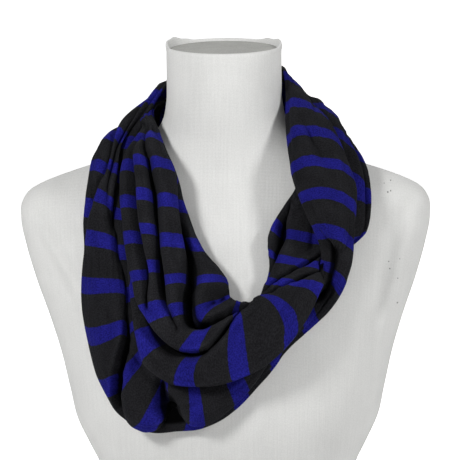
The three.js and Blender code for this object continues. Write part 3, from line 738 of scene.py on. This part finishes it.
def jersey_material(settings, knit, mottle):
    """Fine jersey in yarn-dyed stripes, with painted shade in its folds and a painted highlight on its
    ridges. The stripes and the knit follow the cloth's own UV map.
    """
    material, tree, shader = new_material("striped_jersey_cloth")
    cloth, place = cloth_place(tree)
    shift = product(tree, math_node(tree, "SUBTRACT", noise(tree, cloth, 260.0), 0.5), 0.0012)
    passed = math_node(tree, "DIVIDE", total(tree, place["Y"], shift), settings.stripe_pitch)
    half = settings.stripe_width / settings.stripe_pitch / 2
    blur = 0.006
    blue_share = map_range(tree, math_node(tree, "PINGPONG", passed, 0.5), half + blur, half - blur)
    speckle = place_mottle(tree, mottle, cloth, 0.12, 0.3)
    ground = tinted(tree, tuple(settings.ground_colour), speckle)
    stripe = tinted(tree, tuple(settings.stripe_colour), speckle)
    # A Mix node's colour sockets are its inputs 6 and 7 and its output 2.
    inputs = (("Factor", blue_share), (6, ground), (7, stripe))
    mix = add_node(tree, "ShaderNodeMix", inputs, data_type="RGBA")
    loops, yarn = place_knit(tree, knit, place, settings.wale_width, settings.course_height, 0.6)
    # Painted shade: the colour is darkened in folds, down to the fold shade at the deepest. Painted
    # highlight: it is lightened on ridges, by up to the ridge highlight share.
    ridge = add_node(tree, "ShaderNodeAttribute", attribute_name="ridge").outputs["Fac"]
    fold_shade = map_range(tree, ridge, -0.85, 0.05, settings.fold_shade, 1.0)
    highlight = map_range(tree, ridge, 0.05, 0.8, 0.0, settings.painted_ridge_highlight)
    # Painted shade between the knitted loops, and a painted highlight on top of the yarn.
    yarn_shade = map_range(tree, yarn, 0.0, 1.0, 0.75, 1.12, "LINEAR")
    shade = product(tree, yarn_shade, total(tree, fold_shade, highlight))
    height = total(tree, loops, product(tree, noise(tree, cloth, 1500.0, 3.0), 0.8))
    fill_inputs(tree, shader, (
        ("Base Color", tinted(tree, mix.outputs[2], shade)),
        ("Normal", bumped(tree, height, 0.55, 0.00025)),
        ("Roughness", map_range(tree, yarn, 0.0, 1.0, 0.98, 0.82, "LINEAR")),
        ("Specular IOR Level", 0.02),
        ("Sheen Weight", settings.nap_sheen),
        ("Sheen Roughness", 0.45),
        ("Sheen Tint", (0.75, 0.77, 0.85, 1)),
    ))
    return material


def cover_material(settings, knit, mottle):
    """The form's white knitted cover, with fine upright ribs."""
    material, tree, shader = new_material("ribbed_cover_cloth")
    cloth, place = cloth_place(tree)
    loops, yarn = place_knit(tree, knit, place, settings.rib_width, settings.rib_width / 2, 0.3)
    streaks = add_node(tree, "ShaderNodeMapping", (("Vector", cloth), ("Scale", (1.0, 0.03, 1.0))))
    ribs = noise(tree, streaks.outputs[0], 620.0, 3.0)
    factor = place_mottle(tree, mottle, cloth, 0.02, 0.03, 22.0)
    factor = product(tree, factor, map_range(tree, ribs, 0.35, 0.65, 0.98, 1.01))
    # Painted shade between the cover's knitted loops, from the knit's height.
    factor = product(tree, factor, map_range(tree, yarn, 0.0, 1.0, 0.95, 1.02, "LINEAR"))
    factor = product(tree, factor, speck_factor(tree))
    height = total(tree, loops, product(tree, ribs, 1.5))
    fill_inputs(tree, shader, (
        ("Base Color", tinted(tree, tuple(settings.cover_colour), factor)),
        ("Normal", bumped(tree, height, 0.4, 0.0003)),
        ("Roughness", map_range(tree, yarn, 0.0, 1.0, 0.92, 0.8, "LINEAR")),
        ("Specular IOR Level", 0.25),
        ("Sheen Weight", 0.15),
        ("Sheen Roughness", 0.5),
    ))
    return material


def speck_factor(tree):
    """1 on the clean cover, and darker in the small specks of its front."""
    place = add_node(tree, "ShaderNodeTexCoord").outputs["Object"]
    inputs = ((0, place), (1, (1, 0, 1)))
    flat = add_node(tree, "ShaderNodeVectorMath", inputs, operation="MULTIPLY").outputs[0]
    depth = add_node(tree, "ShaderNodeSeparateXYZ", (("Vector", place),)).outputs["Y"]
    clean = map_range(tree, depth, -0.01, 0.0)
    specks = []
    for x, z, radius in COVER_SPECKS:
        inputs = ((0, flat), (1, (x * MM, 0, z * MM)))
        away = add_node(tree, "ShaderNodeVectorMath", inputs, operation="DISTANCE").outputs["Value"]
        specks.append(map_range(tree, away, radius * 0.5 * MM, radius * 1.2 * MM))
    nearest = specks[0]
    for mask in specks[1:]:
        nearest = math_node(tree, "MINIMUM", nearest, mask)
    return map_range(tree, math_node(tree, "MAXIMUM", nearest, clean), 0.0, 1.0, 0.25, 1.0, "LINEAR")


def cap_material(settings, mottle):
    """The grey cloth-faced board in the neck."""
    material, tree, shader = new_material("neck_board")
    place = add_node(tree, "ShaderNodeTexCoord").outputs["Object"]
    speckle = place_mottle(tree, mottle, place, 0.06, 0.08)
    weave = noise(tree, place, 900.0, 3.0)
    fill_inputs(tree, shader, (
        ("Base Color", tinted(tree, tuple(settings.cap_colour), speckle)),
        ("Normal", bumped(tree, weave, 0.4, 0.0003)),
        ("Roughness", map_range(tree, weave, 0.3, 0.7, 0.75, 0.9)),
    ))
    return material


def stage_material(settings):
    """White paper that looks evenly lit to the camera alone."""
    material, tree, shader = new_material("stage_paper")
    place = add_node(tree, "ShaderNodeTexCoord").outputs["Object"]
    factor = map_range(tree, noise(tree, place, 30.0), 0.3, 0.7, 0.99, 1.01)
    seen = add_node(tree, "ShaderNodeLightPath").outputs["Is Camera Ray"]
    fill_inputs(tree, shader, (
        ("Base Color", tinted(tree, tuple(settings.floor_colour), factor)),
        ("Roughness", 0.95),
        ("Specular IOR Level", 0.1),
        ("Emission Color", (1, 1, 1, 1)),
        ("Emission Strength", product(tree, seen, settings.floor_glow)),
    ))
    return material


# The form's meshes

FORM_AROUND = 192
CAP_AROUND = 96
FORM_STEP = 4.0


def ring_points(angle, z, inset):
    """Points of the form's outline at heights, drawn in by an inset."""
    side, front, back, square = level_at(z)
    c, s = np.cos(angle), np.sin(angle)
    depth = np.where(s < 0, front, back)
    power = 2 / square
    x = np.sign(c) * np.abs(c) ** power * (side - inset)
    y = np.sign(s) * np.abs(s) ** power * (depth - inset)
    return x, y


# Soft valleys of the cover at the armholes. One row for each: the side that it is on, its points (x, z), its
# depth and its half width.
COVER_CREASES = (
    ("front", ((-193, 380), (-178, 347), (-160, 315), (-146, 292), (-136, 268)), 8, 8),
    ("front", ((188, 386), (176, 362), (164, 334), (151, 289), (141, 254), (138, 204), (133, 154),
               (120, 122)), 7, 9),
    ("back", ((-188, 380), (-172, 340), (-156, 300), (-146, 262)), 3.5, 12),
    ("back", ((188, 380), (170, 336), (158, 300), (150, 266)), 3.5, 12),
)
# Small dark specks in the knit of the cover's front, as (x, z, radius).
COVER_SPECKS = (
    (159, 380, 0.9),
    (162, 381, 0.8),
    (163, 390, 0.7),
    (156, 388, 0.5),
    (159, 313, 0.7),
    (160, 306, 0.8),
    (170, 315, 0.5),
    (168, 296, 0.6),
    (168, 271, 0.9),
)


def distance_to_line(x, z, points):
    """The distance of points (x, z) from a line through several points, and the share of its length."""
    best = np.full(x.shape, 1e9)
    share = np.zeros(x.shape)
    legs = len(points) - 1
    for number, ((ax, az), (bx, bz)) in enumerate(zip(points, points[1:])):
        along = ((x - ax) * (bx - ax) + (z - az) * (bz - az)) / ((bx - ax) ** 2 + (bz - az) ** 2)
        along = np.clip(along, 0, 1)
        distance = np.hypot(x - ax - along * (bx - ax), z - az - along * (bz - az))
        nearer = distance < best
        best = np.where(nearer, distance, best)
        share = np.where(nearer, (number + along) / legs, share)
    return best, share


def sloped(y, z):
    """Heights with the slope of the neck's top, which fades out down the neck."""
    lift = NECK_LIFT + NECK_SLOPE * y / NECK_HALF_DEPTH
    return z + lift * smoothstep(z, NECK_SLOPE_START, NECK_TOP)


def rim_rise(angle, z):
    """How far the rim's gathers rise above it, at a direction from the neck's middle."""
    above = np.maximum(z - NECK_TOP, 0)
    rise = np.zeros_like(angle)
    for direction, wide, height in RIM_GATHERS:
        turn = (np.degrees(angle) - direction + 180) % 360 - 180
        rise += height * np.exp(-(turn / wide) ** 2) * smoothstep(above, 0, 5)
    return rise


def start_disc(name, vertices):
    """A new disc in edit mode, selected all over."""
    bpy.ops.object.select_all(action="DESELECT")
    bpy.ops.mesh.primitive_circle_add(vertices=vertices, radius=1, fill_type="NGON", location=(0, 0, 0))
    disc = bpy.context.object
    disc.name = disc.data.name = name
    bpy.ops.object.mode_set(mode="EDIT")
    bpy.ops.mesh.select_all(action="SELECT")
    return disc


def add_cover():
    """Draws a ring up into the form's levels, and over into its rolled rim."""
    heights = list(np.arange(0, NECK_TOP + 0.1, FORM_STEP))
    heights[-1] = NECK_TOP
    rings = [(0.0, z) for z in heights] + list(RIM_PROFILE)
    cover = start_disc("bust_cover", FORM_AROUND)
    bpy.ops.mesh.flip_normals()
    for _ in rings[1:]:
        bpy.ops.mesh.extrude_region_move(TRANSFORM_OT_translate={"value": (0, 0, 1)})
    bpy.ops.mesh.delete(type="ONLY_FACE")
    bpy.ops.object.mode_set(mode="OBJECT")
    mesh = cover.data
    points = np.zeros(len(mesh.vertices) * 3)
    mesh.vertices.foreach_get("co", points)
    points = points.reshape(-1, 3)
    angle = np.arctan2(points[:, 1], points[:, 0])
    ring = np.clip(np.round(points[:, 2]).astype(int), 0, len(rings) - 1)
    inset, z = (np.array([row[k] for row in rings])[ring] for k in (0, 1))
    rise = rim_rise(angle, z)
    x, y = ring_points(angle, np.minimum(z, NECK_TOP), inset - GATHER_BULGE * rise)
    z = sloped(y, z + rise)
    depth = np.zeros_like(x)
    for face, line, deep, wide in COVER_CREASES:
        distance, share = distance_to_line(x, z, line)
        facing = y < 0 if face == "front" else y > 0
        depth += facing * deep * np.exp(-(distance / wide) ** 2) * np.sin(np.pi * np.clip(share, 0.05, 0.95))
    y = y - depth * np.sign(y)
    mesh.vertices.foreach_set("co", (np.stack([x, y, z], -1) * MM).astype(np.float32).ravel())
    add_cover_uv(mesh, angle, ring, rings)
    for polygon in mesh.polygons:
        polygon.use_smooth = len(polygon.vertices) == 4
    mesh.update()
    return cover


def add_cover_uv(mesh, angle, ring, rings):
    """Cloth coordinates in metres: round the form from the centre of the front, and up its side."""
    turn = (angle + math.pi / 2 + math.pi) % (2 * math.pi) - math.pi
    half_turn = 360
    fine = np.linspace(-math.pi, math.pi, 2 * half_turn + 1)
    around = np.zeros_like(turn)
    rise = [0.0]
    for number, (inset, z) in enumerate(rings):
        x, y = ring_points(fine - math.pi / 2, min(z, NECK_TOP), inset)
        length = np.concatenate([[0], np.cumsum(np.hypot(np.diff(x), np.diff(y)))])
        here = ring == number
        around[here] = np.interp(turn[here], fine, length - length[half_turn])
        if number:
            step = math.hypot(z - rings[number - 1][1], inset - rings[number - 1][0])
            rise.append(rise[-1] + step)
    up = np.array(rise)[ring]
    set_cloth_map(mesh, np.stack([around, up], -1) * MM)


def add_cap():
    """The board in the neck: a disc drawn in to a rounded edge."""
    cap = start_disc("bust_neck_board", CAP_AROUND)
    for share in CAP_STEPS:
        bpy.ops.mesh.inset(thickness=share, depth=0)
    bpy.ops.object.mode_set(mode="OBJECT")
    mesh = cap.data
    points = np.array([vertex.co for vertex in mesh.vertices])
    radius = np.hypot(points[:, 0], points[:, 1])
    angle = np.arctan2(points[:, 1], points[:, 0])
    x, y = ring_points(angle, NECK_TOP, CAP_INSET)
    drop = np.zeros_like(radius)
    for share, depth in CAP_DROPS:
        drop[radius > share] = depth
    z = sloped(y * radius, CAP_HEIGHT - drop)
    for vertex, place in zip(mesh.vertices, np.stack([x * radius, y * radius, z], -1) * MM):
        vertex.co = place
    solidify = cap.modifiers.new("thickness", "SOLIDIFY")
    solidify.thickness = CAP_THICKNESS * MM
    solidify.offset = -1
    bpy.ops.object.modifier_apply(modifier=solidify.name)
    bpy.ops.object.shade_smooth_by_angle(angle=math.radians(40))
    return cap


# Sizes and colours that a user may change

def setting(name, description, default, least=0.0, **more):
    return FloatProperty(name=name, description=description, default=default, min=least, **more)


def length_setting(name, description, default, least=0.0):
    return setting(name, description, default, least, unit="LENGTH", precision=5)


def angle_setting(name, description, degrees):
    return setting(name, description, math.radians(degrees), -math.pi, subtype="ANGLE")


def share_setting(name, description, default, most=1.0):
    return setting(name, description, default, max=most, subtype="FACTOR")


def colour_setting(name, description, default):
    return FloatVectorProperty(name=name, description=description, default=default, size=3, min=0, max=1,
                               subtype="COLOR")


class ScarfSettings(bpy.types.PropertyGroup):
    cloth_thickness: length_setting("Cloth thickness", "Thickness of the jersey", 1.4 * MM, 0.5 * MM)
    form_clearance: length_setting("Clearance", "Least gap between the jersey and the form", 0.6 * MM)
    wrap_angle: angle_setting("Curl", "How far a stretch curls round at each of its edges", 102)
    grid_spacing: length_setting("Grid spacing", "Distance between rows of the mesh", 1.8 * MM, 1 * MM)
    ripple_depth: share_setting("Ripples", "Strength of the small ripples", 1.0, 3)
    stripe_pitch: length_setting("Stripe pitch", "Distance from one blue stripe to the next", 47 * MM, 1 * MM)
    stripe_width: length_setting("Stripe width", "Width of a blue stripe", 16 * MM)
    wale_width: length_setting("Wale width", "Width of a column of knitted loops", 0.9 * MM)
    course_height: length_setting("Course height", "Height of a row of knitted loops", 0.7 * MM)
    nap_sheen: share_setting("Nap", "Strength of the soft sheen of the nap", 0.025)
    # Painted shade in the folds and a painted highlight on the ridges, both set into the jersey's colour.
    fold_shade: share_setting("Fold shade", "Brightness of the nap in the deepest folds", 0.06)
    painted_ridge_highlight: share_setting("Ridge wear", "How much lighter the nap is on ridges", 0.25)
    ground_colour: colour_setting("Ground", "Colour of the ground", (0.0128, 0.0128, 0.0145))
    stripe_colour: colour_setting("Stripe", "Colour of the stripes", (0.0115, 0.011, 0.15))


class FormSettings(bpy.types.PropertyGroup):
    rib_width: length_setting("Rib width", "Width of one rib of the cover", 2.6 * MM)
    cover_colour: colour_setting("Cover", "Colour of the cover", (0.68, 0.68, 0.665))
    cap_colour: colour_setting("Neck board", "Colour of the board in the neck", (0.36, 0.36, 0.34))


class StageSettings(bpy.types.PropertyGroup):
    camera_distance: length_setting("Camera distance", "From the camera to what it looks at", 2.2, 0.5)
    camera_elevation: angle_setting("Camera elevation", "How far the camera looks down", 7)
    camera_roll: angle_setting("Camera roll", "Turn of the camera about its own line of sight", -0.6)
    target: FloatVectorProperty(name="Target", description="What the camera looks at", size=3, subtype="XYZ",
                                unit="LENGTH", default=(0.0042, 0, 0.339))
    lens: setting("Lens", "Focal length in millimetres", 172.2, 10)
    floor_size: length_setting("Floor", "Width of the paper floor", 9.0)
    floor_colour: colour_setting("Floor colour", "Colour of the paper", (0.85, 0.85, 0.85))
    surround: setting("Surround", "Brightness of the white surround", 0.18)
    key_power: setting("Key light", "Power of the key light", 47, subtype="POWER")
    fill_share: share_setting("Fill light", "Power of the right light, for 1 of the key light", 0.88, 2)
    back_share: share_setting("Back light", "Power of the back light, for 1 of the key light", 0.45, 2)
    floor_glow: setting("Floor glow", "How much brighter the paper looks than it is lit", 0.85)


class SCARF_OT_add_form(bpy.types.Operator):
    """Add the cloth-covered bust form with its rolled rim and neck board"""
    bl_idname = "scarf.add_form"
    bl_label = "Add form"
    bl_options = {"REGISTER", "UNDO"}

    def execute(self, context):
        settings = context.scene.form_settings
        knit, mottle = shared_groups()
        cover = add_cover()
        cover.data.materials.append(cover_material(settings, knit, mottle))
        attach(cover, "root")
        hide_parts("form_body", "form_cover_rim")
        cap = add_cap()
        cap.data.materials.append(cap_material(settings, mottle))
        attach(cap, "root")
        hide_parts("form_neck_cap")
        return {"FINISHED"}


class SCARF_OT_add_scarf(bpy.types.Operator):
    """Add the scarf, one sheet of cloth for each stretch of its two turns"""
    bl_idname = "scarf.add_scarf"
    bl_label = "Add scarf"
    bl_options = {"REGISTER", "UNDO"}

    def execute(self, context):
        settings = context.scene.scarf_settings
        if "bust_cover" not in bpy.data.objects:
            raise RuntimeError("The scarf lies on the form, so the form is added first.")
        jersey = jersey_material(settings, *shared_groups())
        for name, node, start, end, cut_width, cut_length in STRETCHES:
            sheet = sheet_object(name, *stretch_grid(start, end, settings), settings.cloth_thickness / MM)
            sheet.data.materials.append(jersey)
            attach(sheet, "root")
            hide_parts(node)
        return {"FINISHED"}


class SCARF_OT_add_stage(bpy.types.Operator):
    """Add the paper floor, the lights and the camera"""
    bl_idname = "scarf.add_stage"
    bl_label = "Add stage"
    bl_options = {"REGISTER", "UNDO"}

    def execute(self, context):
        settings = context.scene.stage_settings
        add_floor(settings)
        add_lights(context, settings)
        add_camera(context, settings)
        return {"FINISHED"}


def select_edges(mesh, chosen):
    """In edit mode, selects only the edges whose ends both pass a test of their places."""
    bpy.ops.object.mode_set(mode="EDIT")
    bpy.ops.mesh.select_all(action="DESELECT")
    bpy.ops.object.mode_set(mode="OBJECT")
    for edge in mesh.edges:
        edge.select = all(chosen(mesh.vertices[number].co) for number in edge.vertices)
    bpy.ops.object.mode_set(mode="EDIT")


def add_floor(settings):
    """A sheet of paper that lies flat and rises in a curve behind the object."""
    size = settings.floor_size
    bpy.ops.object.select_all(action="DESELECT")
    bpy.ops.mesh.primitive_plane_add(size=size)
    floor = bpy.context.object
    floor.name = "stage_floor"
    select_edges(floor.data, lambda place: place.y > 0)
    bpy.ops.mesh.select_mode(type="EDGE")
    bpy.ops.mesh.extrude_region_move(TRANSFORM_OT_translate={"value": (0, 0, size / 3)})
    select_edges(floor.data, lambda place: place.y > 0 and place.z < 0.01)
    bpy.ops.mesh.bevel(offset=size / 8, offset_pct=0, segments=16, affect="EDGES")
    bpy.ops.object.mode_set(mode="OBJECT")
    bpy.ops.object.shade_smooth()
    floor.data.materials.append(stage_material(settings))


# The lights aim at one point. One row for each: its name, its place and its width, in metres.
LIGHT_AIM = (0, 0, 0.33)
LIGHTS = (
    ("light_key", (-1.45, -1.85, 1.65), 0.5),
    ("light_fill", (2.2, -1.3, 1.7), 0.5),
    ("light_back", (-0.6, 2.4, 1.7), 1.8),
)


def add_lights(context, settings):
    for (name, place, size), share in zip(LIGHTS, (1, settings.fill_share, settings.back_share)):
        bpy.ops.object.light_add(type="AREA", location=place)
        light = bpy.context.object
        light.name = name
        light.rotation_euler = (Vector(LIGHT_AIM) - Vector(place)).to_track_quat("-Z", "Y").to_euler()
        light.data.shape = "DISK"
        light.data.size = size
        light.data.energy = settings.key_power * share
    world = bpy.data.worlds.new("white_surround")
    world.use_nodes = True
    tree = world.node_tree
    background = tree.nodes["Background"]
    background.inputs["Color"].default_value = (1, 1, 1, 1)
    seen = add_node(tree, "ShaderNodeLightPath").outputs["Is Camera Ray"]
    strength = map_range(tree, seen, 0.0, 1.0, settings.surround, 1.0, "LINEAR")
    tree.links.new(strength, background.inputs["Strength"])
    context.scene.world = world
    context.scene.view_settings.view_transform = "Standard"


def add_camera(context, settings):
    target = Vector(settings.target)
    elevation = settings.camera_elevation
    back = Vector((0, -math.cos(elevation), math.sin(elevation)))
    bpy.ops.object.camera_add(location=target + back * settings.camera_distance)
    camera = bpy.context.object
    camera.name = "camera_photo"
    turn = (-back).to_track_quat("-Z", "Y").to_matrix()
    camera.rotation_euler = (turn @ Matrix.Rotation(settings.camera_roll, 3, "Z")).to_euler()
    camera.data.sensor_width = 36
    camera.data.lens = settings.lens
    camera.data.clip_end = 50
    context.scene.camera = camera


class SCARF_PT_panel(bpy.types.Panel):
    """Lists the pieces and their settings"""
    bl_idname = "SCARF_PT_panel"
    bl_label = "Scarf on a bust form"
    bl_space_type = "VIEW_3D"
    bl_region_type = "UI"
    bl_category = "Scarf"

    def draw(self, context):
        for settings, operator in (("form_settings", "scarf.add_form"), ("scarf_settings", "scarf.add_scarf"),
                                   ("stage_settings", "scarf.add_stage")):
            box = self.layout.box()
            group = getattr(context.scene, settings)
            for name in type(group).__annotations__:
                box.prop(group, name)
            box.operator(operator)


CLASSES = (
    ScarfSettings,
    FormSettings,
    StageSettings,
    SCARF_OT_add_form,
    SCARF_OT_add_scarf,
    SCARF_OT_add_stage,
    SCARF_PT_panel,
)


def register():
    for cls in CLASSES:
        bpy.utils.register_class(cls)
    bpy.types.Scene.scarf_settings = PointerProperty(type=ScarfSettings)
    bpy.types.Scene.form_settings = PointerProperty(type=FormSettings)
    bpy.types.Scene.stage_settings = PointerProperty(type=StageSettings)


def unregister():
    del bpy.types.Scene.stage_settings
    del bpy.types.Scene.form_settings
    del bpy.types.Scene.scarf_settings
    for cls in reversed(CLASSES):
        bpy.utils.unregister_class(cls)


def main():
    register()
    bpy.ops.scarf.add_form()
    bpy.ops.scarf.add_scarf()
    bpy.ops.scarf.add_stage()


if __name__ == "__main__":
    main()
